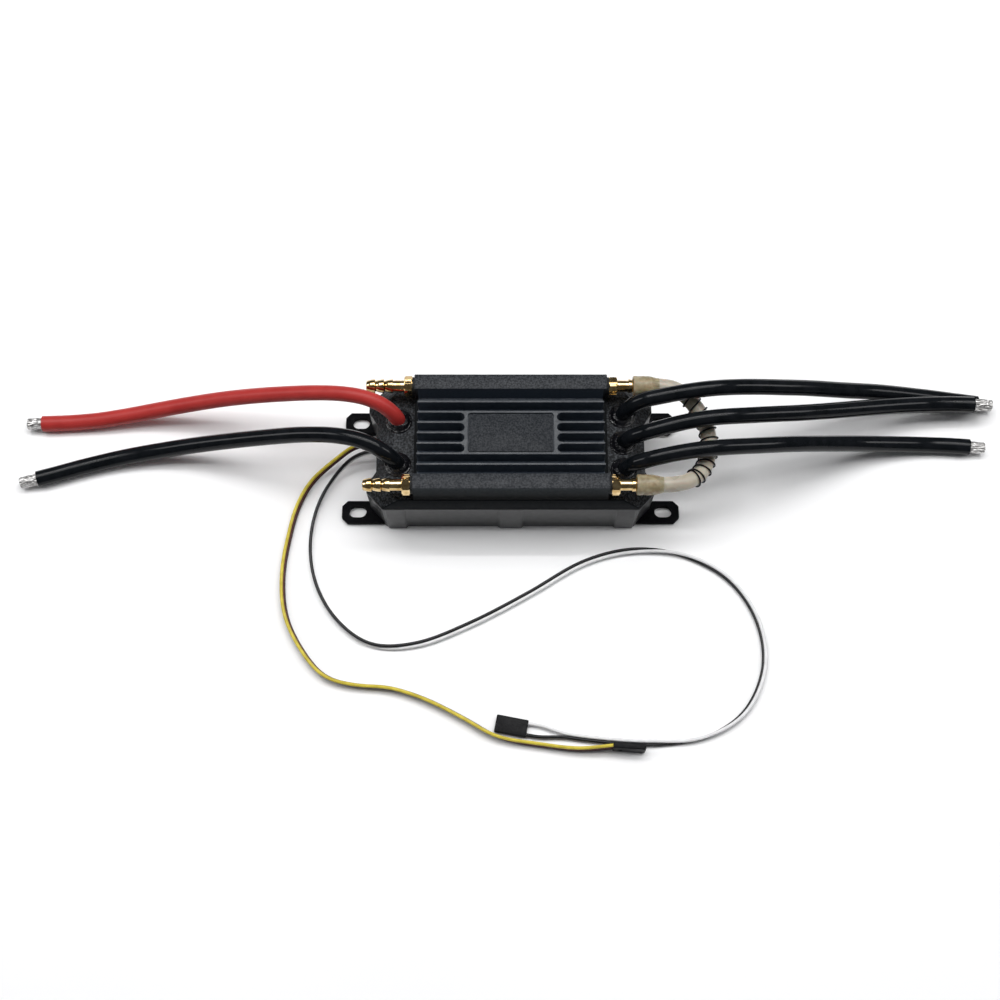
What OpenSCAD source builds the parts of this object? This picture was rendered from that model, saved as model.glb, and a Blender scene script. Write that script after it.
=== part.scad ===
// Water-cooled brushless motor speed controller for model boats.
// Millimetres, +Z up. The origin is the centre of the case's underside.
// +X runs from the battery end to the motor end.

/* [Case] */
// Length of the case over its corner blocks
case_len = 129; // [124:1:136]
// Depth of the case at the seam between its two halves
case_depth = 59.2; // [58:0.2:64]
// Height of the seam between the two halves
seam_z = 23.5; // [22:0.5:26]
// Height of the flat top that carries the heat sink
deck_z = 29.5; // [29:0.5:31]
// Thickness of the case walls and floor
case_wall = 2.5; // [2:0.1:3]

/* [Mounting ears] */
// Distance between the slot centres along X
slot_span_x = 140.4; // [138:0.2:144]
// Distance between the slot centres along Y
slot_span_y = 44.8; // [40:0.2:46]
// Width of a slot
slot_w = 5.6; // [5:0.1:6]
// Overall length of a slot
slot_len = 8; // [7:0.5:9]
// Thickness of an ear
ear_t = 2.5; // [2:0.5:4]

/* [Heat sink] */
// Length of the heat sink
sink_len = 86; // [80:1:86]
// Depth of the heat sink
sink_depth = 55.3; // [54:0.1:55.5]
// Overall height of the controller
total_h = 43; // [42:0.5:45]
// Width of the water channel bar along each long edge
bar_w = 7.3; // [7:0.1:8]
// Thickness of a fin
fin_t = 1; // [0.8:0.1:1.4]
// Distance between fin centres
fin_pitch = 5.04; // [4.8:0.02:5.2]
// How far the fins stay below the bars
fin_drop = 2; // [1:0.5:3]
// Length of the blank nameplate
plate_len = 37.4; // [30:0.2:37.6]
// Depth of the blank nameplate
plate_depth = 18.4; // [16:0.2:18.6]

/* [Water nozzles] */
// Size of the nozzle hexagon across its flats
hex_af = 8; // [7:0.5:8]
// Diameter over the barbs
barb_d = 6.2; // [5.8:0.1:6.4]
// Bore of a nozzle
nozzle_bore = 3; // [2:0.1:3.2]
// Outside diameter of the silicone cooling tube
tube_d = 7; // [6.5:0.1:7.5]

/* [Wires] */
// Outside diameter of the battery and motor wires
wire_d = 7; // [6.4:0.1:7.1]
// Diameter of the tinned wire ends
tip_d = 5.6; // [4.6:0.1:5.8]
// Diameter of one strand of the thin leads
strand_d = 1.5; // [1.2:0.1:1.6]

/* [Hidden] */
$fn = 48;
eps = 0.01;

// Case outline: flat sides with a shallow bay in each end
half_len = case_len / 2;
half_depth = case_depth / 2;
bay_x = half_len - 4;
bay_y = 11.5;
bay_run_y = 18;
corner_x = half_len - 7.2;
corner_y = half_depth - 8;
deck_half_len = half_len - 8;
deck_half_depth = sink_depth / 2;
floor_draft = 1;
cavity_half_len = bay_x - case_wall - 0.5;
cavity_half_depth = half_depth - 3.6;
boss_xs = [-51.8, 0, 51.8];
boss_w = 11.6;
boss_out = 1;
screw_y = 23.8;
pillar_d = 6.5;
screw_d = 3;
screw_core_d = 2.5;
screw_head_d = 5.5;
screw_head_h = 1.8;
screw_head_z = 2.2;
gasket_t = 0.6;

// Heat sink
sink_z = deck_z;
fin_floor_z = sink_z + 4;
fin_top_z = total_h - fin_drop;
fin_inset = 1.5;
channel_z = total_h - 4.6;
channel_y = sink_depth / 2 - bar_w / 2;
channel_d = 5;
stub_len = 5;
plate_t = 1.2;
plate_gap = 0.4;
frame_len = 41;
frame_depth = 4 * fin_pitch + fin_t;
frame_r = 1.5;
frame_rim = (frame_len - plate_len) / 2 - plate_gap;
pedestal = [66, 34];
window = [70, 38];
sink_gasket_t = 0.5;
sink_screw_xs = [-30, 30];
sink_screw_y = 22.9;

// Boards and what they carry
board_t = 1.6;
board_z = 20;
board_top = board_z + board_t;
board_size = [112, 40];
fet_h = 1.6;
pad_t = 0.7;
pedestal_z = board_top + fet_h + pad_t;
control_z = 12;
control_t = 1.2;
spacer_xs = [-43, 43];
spacer_y = 17.5;

// Nozzle, measured from the heat sink's end along its own axis
washer_t = 0.6;
hex_len = 3.9;
stem_len = 5.2;
barb_count = 3;
barb_pitch = 4;
barb_land = 0.6;
valley_d = barb_d - 1.2;
stem_d = barb_d - 1;
stem_start = washer_t + hex_len;
nozzle_end = stem_start + stem_len + barb_count * barb_pitch;
tip_x = sink_len / 2 + nozzle_end;
collar_d = 9.2;
spring_d = tube_d + 1.9;
collar_start = tip_x - 9.9;
collar_end = tip_x + 1.6;

// Where the thick wires come out of the deck
seal_x = 50.3;
battery_ys = [10.6, -10.6];
motor_ys = [13.2, 0, -13.2];
seal_d = 12;
seal_plug_d = 10;
seal_rise = 1.6;
seal_bore = wire_d + 0.3;
wire_start_z = 26;
// The tinned ends are a little thinner next to the insulation, and taper at the tip
tip_neck = 0.6;
tip_neck_d = tip_d - 0.6;
tip_taper = 0.8;
tip_end_d = tip_d - 1.2;

// Where the thin leads leave the battery end
gland_y = 6.6;
gland_size = [9.4, 6.4];
gland_z = 10;
gland_reach = 2.3;
gland_face = 1.3;
program_y = 4.6;
throttle_y = 8.6;
throttle_size = [strand_d + 0.9, 3 * strand_d - 0.1];
program_size = [strand_d + 0.5, 2 * strand_d];
gland_hole = [strand_d + 1.1, 3 * strand_d + 0.1];

// Colours used by more than one piece
black_silicone = [0.05, 0.05, 0.06];
red_silicone = [0.75, 0.12, 0.10];
tinned = [0.7, 0.7, 0.7];

// Connector housing: length, width and thickness
plug_size = [14, 7.7, 2.6];

// Routes of the free cords, from the case outwards
positive_route = [
    [-50.3, 10.6, 26], [-50.3, 10.6, 31], [-52, 11.6, 35], [-57, 14, 40], [-65, 16.7, 42],
    [-76, 19, 41], [-90, 21.4, 37], [-108, 24, 30], [-128, 26, 22], [-150, 26.6, 13.8],
    [-172, 25.6, 7.4], [-194, 23, 4.4], [-213, 21.8, 3.6], [-220, 21.6, 3.6]
];
negative_route = [
    [-50.3, -10.6, 26], [-50.3, -10.6, 31], [-52, -10.4, 35], [-57, -8, 40], [-65, -4.5, 42],
    [-77, -1, 40], [-92, 1.6, 35], [-110, 4, 27], [-130, 6, 18], [-152, 6.7, 10],
    [-174, 4.8, 5.4], [-196, 0.2, 3.7], [-212, -4.6, 3.6], [-219, -6.6, 3.6]
];
motor_a_route = [
    [50.3, 13.2, 26], [50.3, 13.2, 31], [52, 13.8, 35.4], [57, 15.4, 41], [65, 15.8, 44],
    [76, 17.6, 45.2], [90, 20, 44.4], [106, 22.4, 41], [126, 26, 33], [148, 30, 23],
    [170, 33.6, 13.2], [190, 34.8, 6.8], [207, 34, 3.9], [221, 32, 3.6]
];
motor_b_route = [
    [50.3, 0, 26], [50.3, 0, 31], [52, 0, 34.6], [57, 0.2, 38.8], [66, 1.6, 42],
    [78, 4.2, 43.4], [92, 6.6, 43], [108, 9, 40], [126, 12.6, 34], [148, 18.3, 25],
    [170, 24, 17], [190, 27.6, 11.8], [206, 28.6, 10.4], [217, 28.4, 10.2]
];
motor_c_route = [
    [50.3, -13.2, 26], [50.3, -13.2, 31], [52, -13.2, 34.6], [57, -13, 38.6], [66, -12, 42.2],
    [78, -10.2, 44], [92, -7.8, 42.5], [108, -4.6, 37.5], [126, -0.4, 29.5], [148, 5, 18],
    [170, 9, 8.8], [190, 10.5, 4.5], [204, 10.4, 3.6], [214.5, 9.6, 3.6]
];
tube_route = [
    [tip_x, channel_y, channel_z], [70, 24, 38], [76.3, 22.2, 36.6], [82, 17.2, 34.4],
    [86.6, 10, 32.8], [88.6, 1, 32], [87.4, -8.6, 32.8], [84.4, -15.8, 34.6],
    [79.4, -20.8, 36.4], [72.4, -23.4, 37.8], [tip_x, -channel_y, channel_z]
];
throttle_route = [
    [-56, 8.6, 10], [-64, 8.6, 10], [-72, 7.8, 8.4], [-82, 1.4, 5], [-92, -7.8, 3],
    [-98, -20, 2.3], [-101, -34, 2.3], [-103, -52, 2.3], [-101, -71, 2.3], [-94, -86, 2.3],
    [-82, -100, 2.3], [-68, -104, 2.3], [-54, -105, 2.3], [-38, -110, 2.3], [-20, -119, 2.3],
    [-6, -126.8, 2.3], [14, -130.6, 2.3], [30, -132.4, 2.8], [44, -131.4, 3.9]
];
program_route = [
    [-56, 4.6, 10], [-64, 4.6, 10], [-73, 2.4, 7.4], [-83, -7.4, 2.6], [-89, -20, 1.6],
    [-91.4, -38, 1.6], [-88, -57, 1.6], [-78, -74, 1.6], [-62, -85.6, 1.6], [-42, -85.4, 1.6],
    [-18, -76, 1.6], [8, -62, 1.6], [34, -46.6, 1.6], [56, -41, 1.6], [78, -43, 1.6],
    [98, -54, 1.6], [110, -73, 1.6], [112, -95, 1.6], [102, -116, 1.6], [84, -127, 1.6],
    [62, -129.4, 1.6], [34, -127.6, 1.6], [7, -123.4, 1.5]
];

// ---------- helpers ----------

module mirror_copy(axis) {
    children();
    mirror(axis) children();
}

// One level of the case outline's middle part, between the bays
module middle_slice(z, inset_x, half_y) {
    x = bay_x - inset_x;
    translate([0, 0, z]) linear_extrude(eps) square([2 * x, 2 * half_y], center = true);
}

// One level of a corner block, which stands out beside the bay
module corner_slice(z, inset_x, inset_y) {
    x = half_len - inset_x;
    y = half_depth - inset_y;
    bevel_x = half_len - corner_x;
    bevel_y = half_depth - corner_y;
    translate([0, 0, z]) linear_extrude(eps)
        polygon([[0, bay_y - 4], [bay_x - inset_x, bay_y], [x, bay_run_y],
                 [x, y - bevel_y], [x - bevel_x, y], [0, y]]);
}

// Solid between two levels of the case outline, given as [z, inset_x, inset_y]
module case_form(low, high) {
    for (sx = [0, 1], sy = [0, 1])
        mirror([sx, 0, 0]) mirror([0, sy, 0])
            hull() {
                corner_slice(low[0], low[1], low[2]);
                corner_slice(high[0] - eps, high[1], high[2]);
            }
    hull() {
        middle_slice(low[0], low[1], bay_y);
        middle_slice(high[0] - eps, high[1], bay_y);
    }
}

// Socket screw that points up, with its head under the level head_top
module socket_screw(head_top, tip_z) {
    difference() {
        union() {
            translate([0, 0, head_top - screw_head_h]) cylinder(d = screw_head_d, h = screw_head_h);
            translate([0, 0, head_top]) cylinder(d = screw_core_d, h = tip_z - head_top);
        }
        translate([0, 0, head_top - screw_head_h - 1]) cylinder(d = 2.4, h = 2, $fn = 6);
    }
}

module at_case_screws() {
    for (x = boss_xs, side = [-1, 1]) translate([x, side * screw_y, 0]) children();
}

module at_sink_screws() {
    for (x = sink_screw_xs, side = [-1, 1]) translate([x, side * sink_screw_y, 0]) children();
}

module at_spacers() {
    for (x = spacer_xs, side = [-1, 1]) translate([x, side * spacer_y, 0]) children();
}

module at_wire_exits() {
    for (y = battery_ys) translate([-seal_x, y, 0]) children();
    for (y = motor_ys) translate([seal_x, y, 0]) children();
}

// Flat bar with round ends along X, centred
module round_bar(length, width) {
    square([length - width, width], center = true);
    for (side = [-1, 1]) translate([side * (length - width) / 2, 0]) circle(d = width);
}

// Rounded rectangle, centred
module round_rect(length, width, r) {
    square([length - 2 * r, width], center = true);
    square([length, width - 2 * r], center = true);
    for (sx = [-1, 1], sy = [-1, 1])
        translate([sx * (length / 2 - r), sy * (width / 2 - r)]) circle(r = r);
}

function unit(v) = v / norm(v);
function heading(route, i) =
    unit(route[min(i + 1, len(route) - 1)] - route[max(i - 1, 0)]);

// Tube swept along a route, of the given [width, height]; side_axis is a direction that the route
// never follows, and the width lies across it
module cord_tube(route, size, sides, side_axis) {
    n = len(route);
    points = [for (i = [0 : n - 1])
        let (t = heading(route, i), u = unit(cross(side_axis, t)), v = cross(t, u))
        for (k = [0 : sides - 1])
            let (a = 360 * (k + 0.5) / sides)
                route[i] + size[0] / 2 * cos(a) * u + size[1] / 2 * sin(a) * v];
    walls = [for (i = [0 : n - 2], k = [0 : sides - 1])
        let (a = i * sides + k, b = i * sides + (k + 1) % sides)
        for (f = [[a, a + sides, b], [b, a + sides, b + sides]]) f];
    caps = [[for (k = [0 : sides - 1]) k],
            [for (k = [0 : sides - 1]) n * sides - 1 - k]];
    polyhedron(points, concat(walls, caps));
}

// Tinned end, lined up with the last stretch of a route
module wire_tip(route, length) {
    last = route[len(route) - 1];
    dir = unit(last - route[len(route) - 2]);
    translate(last) rotate([0, acos(dir[2]), atan2(dir[1], dir[0])]) {
        cylinder(d = tip_neck_d, h = tip_neck);
        translate([0, 0, tip_neck]) cylinder(d = tip_d, h = length - tip_neck - tip_taper);
        translate([0, 0, length - tip_taper])
            cylinder(d1 = tip_d, d2 = tip_end_d, h = tip_taper);
    }
}

// ---------- case ----------

module ear() {
    tip = (slot_span_x + slot_len) / 2 + 3.3;
    root = bay_x - case_wall;
    half_w = 5.4;
    bevel = 2.6;
    linear_extrude(ear_t) difference() {
        polygon([[root, -half_w], [tip - bevel, -half_w], [tip, bevel - half_w],
                 [tip, half_w - bevel], [tip - bevel, half_w], [root, half_w]]);
        translate([slot_span_x / 2, 0]) round_bar(slot_len, slot_w);
    }
}

module lower_case() {
    top = seam_z - gasket_t / 2;
    color([0.09, 0.09, 0.10]) {
        difference() {
            union() {
                case_form([0, 0.6, floor_draft], [top, 0, 0]);
                for (x = boss_xs, side = [-1, 1])
                    translate([x, side * half_depth, 0]) wall_boss(side, top);
                for (sy = [-1, 1]) translate([0, sy * slot_span_y / 2, 0]) mirror_copy([1, 0, 0]) ear();
            }
            difference() {
                translate([-cavity_half_len, -cavity_half_depth, case_wall])
                    cube([2 * cavity_half_len, 2 * cavity_half_depth, seam_z]);
                at_case_screws() cylinder(d = pillar_d, h = seam_z);
            }
            at_case_screws() {
                translate([0, 0, -1]) cylinder(d = screw_d + 0.4, h = seam_z + 2);
                translate([0, 0, -1]) cylinder(d = 5.8, h = 1 + screw_head_z);
            }
            translate([-bay_x - 1, gland_y, gland_z]) rotate([0, 90, 0])
                linear_extrude(case_wall + 3) rotate(90) round_bar(gland_size[0], gland_size[1]);
        }
    }
}

// Raised panel on the long side, where a case screw runs up inside
module wall_boss(side, top) {
    low = floor_draft;
    half_w = boss_w / 2;
    rotate([90, 0, 90]) translate([0, 0, -half_w]) linear_extrude(2 * half_w)
        polygon([[side * (boss_out - low), 0], [side * boss_out, top - 3],
                 [-side * 0.1, top - 1.2], [-side * 3, top - 1.2], [-side * 3, 0]]);
}

module case_gasket() {
    color([0.03, 0.03, 0.03]) translate([0, 0, seam_z - gasket_t / 2]) linear_extrude(gasket_t)
        difference() {
            square([2 * bay_x - 1, 2 * half_depth - 1], center = true);
            square([2 * cavity_half_len, 2 * cavity_half_depth - 2], center = true);
            at_case_screws() circle(d = pillar_d + 0.5);
            for (sx = [0, 1], sy = [0, 1]) mirror([sx, 0]) mirror([0, sy])
                polygon([[half_len, corner_y - 4], [corner_x - 4, half_depth],
                         [half_len, half_depth]]);
        }
}

module upper_case() {
    low = seam_z + gasket_t / 2;
    color([0.07, 0.07, 0.08]) difference() {
        case_form([low, 0, 0], [deck_z, half_len - deck_half_len, half_depth - deck_half_depth]);
        difference() {
            translate([-deck_half_len + case_wall, -cavity_half_depth, low - 1])
                cube([2 * (deck_half_len - case_wall), 2 * cavity_half_depth,
                      deck_z - case_wall - low + 1]);
            at_case_screws() cylinder(d = pillar_d, h = deck_z);
        }
        translate([0, 0, deck_z]) cube([window[0], window[1], 20], center = true);
        at_case_screws() translate([0, 0, low - 1]) cylinder(d = screw_core_d, h = 5);
        at_sink_screws() translate([0, 0, low]) cylinder(d = screw_d + 0.4, h = 20);
        at_wire_exits() translate([0, 0, low]) cylinder(d = seal_plug_d, h = 20);
    }
}

module case_screws() {
    color([0.55, 0.56, 0.58]) at_case_screws()
        socket_screw(screw_head_z, seam_z + 4);
}

// ---------- heat sink ----------

module heat_sink() {
    fin_len = sink_len - 2 * fin_inset;
    color([0.10, 0.10, 0.11]) difference() {
        union() {
            translate([0, 0, (sink_z + fin_floor_z) / 2])
                cube([sink_len, sink_depth, fin_floor_z - sink_z], center = true);
            for (side = [-1, 1])
                translate([-sink_len / 2, side * channel_y - bar_w / 2, sink_z])
                    cube([sink_len, bar_w, total_h - sink_z]);
            for (i = [-3 : 3])
                translate([-fin_len / 2, i * fin_pitch - fin_t / 2, fin_floor_z - 1])
                    cube([fin_len, fin_t, fin_top_z - fin_floor_z + 1]);
            translate([0, 0, fin_floor_z - 1]) linear_extrude(fin_top_z - fin_floor_z + 1)
                round_rect(frame_len, frame_depth, frame_r);
            translate([0, 0, (pedestal_z + sink_z + 1) / 2])
                cube([pedestal[0], pedestal[1], sink_z + 1 - pedestal_z], center = true);
        }
        translate([0, 0, fin_top_z - plate_t]) linear_extrude(plate_t + 1)
            round_rect(frame_len - 2 * frame_rim, plate_depth + 2 * plate_gap, frame_r);
        for (side = [-1, 1]) translate([-sink_len / 2 - 1, side * channel_y, channel_z])
            rotate([0, 90, 0]) cylinder(d = channel_d, h = sink_len + 2);
        at_sink_screws() translate([0, 0, sink_z - 1]) cylinder(d = screw_core_d, h = 1 + 5);
    }
}

module heat_sink_gasket() {
    // sits in the step between the case window and the pedestal
    color([0.03, 0.03, 0.03]) translate([0, 0, deck_z - sink_gasket_t - 1])
        linear_extrude(sink_gasket_t + 1) difference() {
            square([window[0], window[1]], center = true);
            square([pedestal[0], pedestal[1]], center = true);
        }
}

module heat_sink_screws() {
    color([0.55, 0.56, 0.58]) at_sink_screws()
        socket_screw(deck_z - case_wall, deck_z + 4.5);
}

module nameplate() {
    color([0.16, 0.16, 0.17]) translate([0, 0, fin_top_z - plate_t])
        linear_extrude(plate_t - 0.2) round_rect(plate_len, plate_depth, frame_r - plate_gap);
}

// ---------- water fittings ----------

// Half outline of the barbed stem, as [distance, radius] pairs along the axis
function barb_outline(i) = let (x = stem_start + stem_len + i * barb_pitch) [
    [x, barb_d / 2], [x + barb_land, barb_d / 2], [x + barb_pitch, valley_d / 2]
];
stem_outline = concat(
    [[stem_start, 0], [stem_start, stem_d / 2], [stem_start + stem_len, stem_d / 2]],
    [for (i = [0 : barb_count - 1], p = barb_outline(i)) p],
    [[nozzle_end, 0]]
);

// A nozzle along +X, starting at the heat sink's end face
module nozzle() {
    color([0.80, 0.62, 0.30]) rotate([0, 90, 0]) difference() {
        union() {
            translate([0, 0, -stub_len]) cylinder(d = channel_d, h = stub_len + washer_t);
            translate([0, 0, washer_t]) cylinder(d = hex_af / cos(30), h = hex_len, $fn = 6);
            rotate_extrude() polygon([for (p = stem_outline) [p[1], p[0]]]);
        }
        translate([0, 0, -stub_len - 1]) cylinder(d = nozzle_bore, h = nozzle_end + stub_len + 2);
    }
}

module place_nozzle(end, side) {
    translate([end * sink_len / 2, side * channel_y, channel_z])
        rotate([0, 0, end > 0 ? 0 : 180]) children();
}

module nozzle_washers() {
    color([0.04, 0.04, 0.04]) for (end = [-1, 1], side = [-1, 1]) place_nozzle(end, side)
        rotate([0, 90, 0]) difference() {
            cylinder(d = hex_af - 0.2, h = washer_t);
            translate([0, 0, -1]) cylinder(d = channel_d, h = washer_t + 2);
        }
}

module cooling_tube() {
    color([0.90, 0.89, 0.85, 0.8]) cord_tube(tube_route, [tube_d, tube_d], 8, [0, 0, 1]);
}

module tube_collars() {
    color([0.86, 0.83, 0.74, 0.9]) for (side = [-1, 1])
        translate([collar_start, side * channel_y, channel_z]) rotate([0, 90, 0]) difference() {
            cylinder(d = collar_d, h = collar_end - collar_start);
            translate([0, 0, -1]) cylinder(d = barb_d, h = tip_x - collar_start + 1);
            translate([0, 0, tip_x - collar_start - eps]) cylinder(d = tube_d, h = 5);
        }
}

// Envelope of the steel anti-kink spring round the middle of the tube
module tube_spring() {
    stretch = [for (i = [2 : 8]) tube_route[i]];
    color([0.15, 0.15, 0.16]) difference() {
        cord_tube(stretch, [spring_d, spring_d], 8, [0, 0, 1]);
        cord_tube(tube_route, [tube_d + 0.1, tube_d + 0.1], 8, [0, 0, 1]);
    }
}

// ---------- wires ----------

module wire_seals() {
    color([0.05, 0.05, 0.05]) at_wire_exits() difference() {
        union() {
            translate([0, 0, deck_z - case_wall]) cylinder(d = seal_plug_d, h = case_wall);
            translate([0, 0, deck_z]) cylinder(d1 = seal_d, d2 = seal_d - 2.4, h = seal_rise);
        }
        translate([0, 0, deck_z - case_wall - 1]) cylinder(d = seal_bore, h = 8);
    }
}

module power_wire(route, paint) {
    color(paint) cord_tube(route, [wire_d, wire_d], 8, [0, 1, 0]);
}

module signal_gland() {
    length = gland_reach + case_wall + gland_face;
    color([0.05, 0.05, 0.05]) difference() {
        union() {
            translate([-bay_x - gland_face, gland_y, gland_z]) rotate([0, 90, 0])
                linear_extrude(length) rotate(90) round_bar(gland_size[0], gland_size[1]);
            translate([-bay_x - gland_face, gland_y, gland_z]) rotate([0, 90, 0])
                linear_extrude(gland_face) rotate(90) round_bar(gland_size[0] + 2, gland_size[1] + 2);
        }
        for (y = [program_y, throttle_y])
            translate([-bay_x - gland_face - 1, y, gland_z])
                rotate([0, 90, 0]) linear_extrude(length + 2) round_bar(gland_hole[1], gland_hole[0]);
    }
}

// Three-way connector housing along +X from its wire end, with its open contact slots
module connector() {
    color([0.05, 0.05, 0.05]) translate([0, -plug_size[1] / 2, 0]) difference() {
        cube(plug_size);
        for (i = [-1 : 1])
            translate([plug_size[0] - 8, plug_size[1] / 2 + i * 2.54 - 0.5, plug_size[2] / 2 - 0.5])
                cube([9, 1, 1]);
        for (i = [-1 : 1])
            translate([4, plug_size[1] / 2 + i * 2.54 - 0.8, plug_size[2] - 0.3]) cube([3, 1.6, 1]);
    }
}

// ---------- inside ----------

module power_board() {
    color([0.05, 0.30, 0.16]) difference() {
        translate([0, 0, board_z + board_t / 2])
            cube([board_size[0], board_size[1], board_t], center = true);
        at_spacers() translate([0, 0, board_z - 1]) cylinder(d = 2.7, h = board_t + 2);
    }
}

module mosfets() {
    color([0.08, 0.08, 0.08]) for (i = [-2.5 : 2.5], j = [-1.5 : 1.5])
        translate([i * 10.4, j * 8, board_top + fet_h / 2]) cube([8, 6, fet_h], center = true);
}

module thermal_pad() {
    color([0.70, 0.72, 0.78]) translate([0, 0, board_top + fet_h + pad_t / 2])
        cube([pedestal[0] - 2, pedestal[1] - 2, pad_t], center = true);
}

module terminal_posts() {
    color([0.80, 0.46, 0.28]) at_wire_exits() translate([0, 0, board_top])
        cylinder(d = 6, h = wire_start_z - board_top);
}

module capacitors() {
    color([0.16, 0.20, 0.35]) for (x = [-48.5, -37.5], y = [-11, 0, 11])
        translate([x, y, board_z - 15]) cylinder(d = 10, h = 15);
}

module control_board() {
    color([0.05, 0.25, 0.45]) translate([-22, -15, control_z]) cube([60, 30, control_t]);
}

module control_chips() {
    top = control_z + control_t;
    color([0.10, 0.10, 0.10]) {
        translate([0, -5, top]) cube([10, 10, 1.2]);
        translate([-16, -9, top]) cube([5, 4, 1.5]);
        translate([-16, 4, top]) cube([5, 4, 1.5]);
        translate([16, -12, top]) cube([4, 3, 1.2]);
        translate([16, 9, top]) cube([4, 3, 1.2]);
    }
}

module board_header() {
    low = control_z + control_t;
    color([0.10, 0.10, 0.10]) translate([30, -10, low]) cube([2.5, 20, board_z - low]);
}

module board_spacers() {
    color([0.78, 0.62, 0.32]) at_spacers() translate([0, 0, case_wall]) difference() {
        cylinder(d = 4.5 / cos(30), h = board_z - case_wall, $fn = 6);
        translate([0, 0, 10]) cylinder(d = 2.5, h = 20);
    }
}

module board_screws() {
    color([0.65, 0.66, 0.68]) at_spacers() {
        translate([0, 0, board_z - 5]) cylinder(d = 2.5, h = board_t + 5);
        translate([0, 0, board_top]) cylinder(d = 4.4, h = 1.5);
    }
}

// ---------- nodes ----------

lower_case();
upper_case();
case_gasket();
case_screws();
heat_sink();
heat_sink_gasket();
heat_sink_screws();
nameplate();
place_nozzle(-1, 1) nozzle();  // nozzle_back_left
place_nozzle(-1, -1) nozzle();  // nozzle_front_left
place_nozzle(1, 1) nozzle();  // nozzle_back_right
place_nozzle(1, -1) nozzle();  // nozzle_front_right
nozzle_washers();
cooling_tube();
tube_collars();
tube_spring();
wire_seals();
power_wire(positive_route, red_silicone);  // battery_wire_positive
power_wire(negative_route, black_silicone);  // battery_wire_negative
color(tinned) wire_tip(positive_route, 7);  // battery_tip_positive
color(tinned) wire_tip(negative_route, 8);  // battery_tip_negative
power_wire(motor_a_route, black_silicone);  // motor_wire_a
power_wire(motor_b_route, black_silicone);  // motor_wire_b
power_wire(motor_c_route, black_silicone);  // motor_wire_c
color(tinned) wire_tip(motor_a_route, 7);  // motor_tip_a
color(tinned) wire_tip(motor_b_route, 7);  // motor_tip_b
color(tinned) wire_tip(motor_c_route, 7);  // motor_tip_c
signal_gland();
color([0.80, 0.70, 0.15]) cord_tube(throttle_route, throttle_size, 8, [0, 0, 1]);  // throttle_lead
translate([44, -131.4, plug_size[1] / 2]) rotate([90, 0, -4]) translate([0, 0, -plug_size[2] / 2])  // throttle_connector
        connector();
color([0.85, 0.85, 0.85]) cord_tube(program_route, program_size, 8, [0, 0, 1]);  // program_lead
translate([7, -123.4, 0]) rotate([0, 0, 169]) connector();  // program_connector
power_board();
mosfets();
thermal_pad();
terminal_posts();
capacitors();
control_board();
control_chips();
board_header();
board_spacers();
board_screws();
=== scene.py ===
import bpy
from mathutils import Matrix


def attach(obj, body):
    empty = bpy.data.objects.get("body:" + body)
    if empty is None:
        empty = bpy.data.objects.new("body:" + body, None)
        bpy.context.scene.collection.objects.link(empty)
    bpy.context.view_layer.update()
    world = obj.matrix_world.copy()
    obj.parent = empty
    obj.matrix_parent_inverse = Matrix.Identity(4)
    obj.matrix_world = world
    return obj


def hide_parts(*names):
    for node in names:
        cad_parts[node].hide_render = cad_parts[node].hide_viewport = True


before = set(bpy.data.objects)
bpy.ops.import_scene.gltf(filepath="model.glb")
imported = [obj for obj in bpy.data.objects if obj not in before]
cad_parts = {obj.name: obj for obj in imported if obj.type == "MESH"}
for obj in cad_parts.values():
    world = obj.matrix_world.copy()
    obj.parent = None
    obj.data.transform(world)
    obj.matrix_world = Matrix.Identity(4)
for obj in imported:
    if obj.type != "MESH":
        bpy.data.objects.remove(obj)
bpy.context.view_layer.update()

import math

import bmesh
import bpy
from mathutils import Vector, noise

# Lengths are in millimetres up to mesh_object(), which turns them into metres.
MM = 0.001
UP = Vector((0, 0, 1))

# ---------- sizes shared with the CAD model ----------

# the case: its outline at the seam, the bays of its ends, its slanted corners and its levels
HALF_LEN, HALF_DEPTH = 64.5, 29.6
BAY_X, BAY_Y, BAY_RUN_Y = 60.5, 11.5, 18
BEVEL_X, BEVEL_Y = 7.2, 8
SEAM_Z, DECK_Z, GASKET = 23.5, 29.5, 0.6
DECK_HALF_LEN, DECK_HALF_DEPTH = 56.5, 27.65
CAVITY = (57.5, 26.0)
WALL = 2.5
EAR_SLOT_X, EAR_Y, EAR_T, SLOT_LEN, SLOT_W = 70.2, 22.4, 2.5, 8, 5.6
CASE_SCREWS = [(x, side * 23.8) for x in (-51.8, 0, 51.8) for side in (-1, 1)]
SINK_SCREWS = [(x, side * 22.9) for x in (-30, 30) for side in (-1, 1)]
PILLAR_D, SCREW_HOLE_D, SCREW_CORE_D, SCREW_HEAD_D = 6.5, 3.4, 2.5, 5.8
# the heat sink, its water channels and the nozzles' tips
SINK_LEN, SINK_DEPTH, TOP_Z = 86.0, 55.3, 43.0
BAR_W, FIN_T, FIN_PITCH, FIN_TOP_Z, FIN_FLOOR_Z = 7.3, 1.0, 5.04, 41.0, 33.5
PLATE_FLOOR_Z = FIN_TOP_Z - 1.2
CHANNEL_Y, CHANNEL_Z, CHANNEL_R = 24.0, 38.4, 2.5
TIP_X = 64.7
# the wires, and where they leave the case
SEALS = [(-50.3, 10.6), (-50.3, -10.6), (50.3, 13.2), (50.3, 0), (50.3, -13.2)]
WIRE_D, TIP_D, TUBE_D, STRAND_D = 7.0, 5.6, 7.0, 1.5

# ---------- routes of the cords, from the case to their far ends ----------

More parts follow.
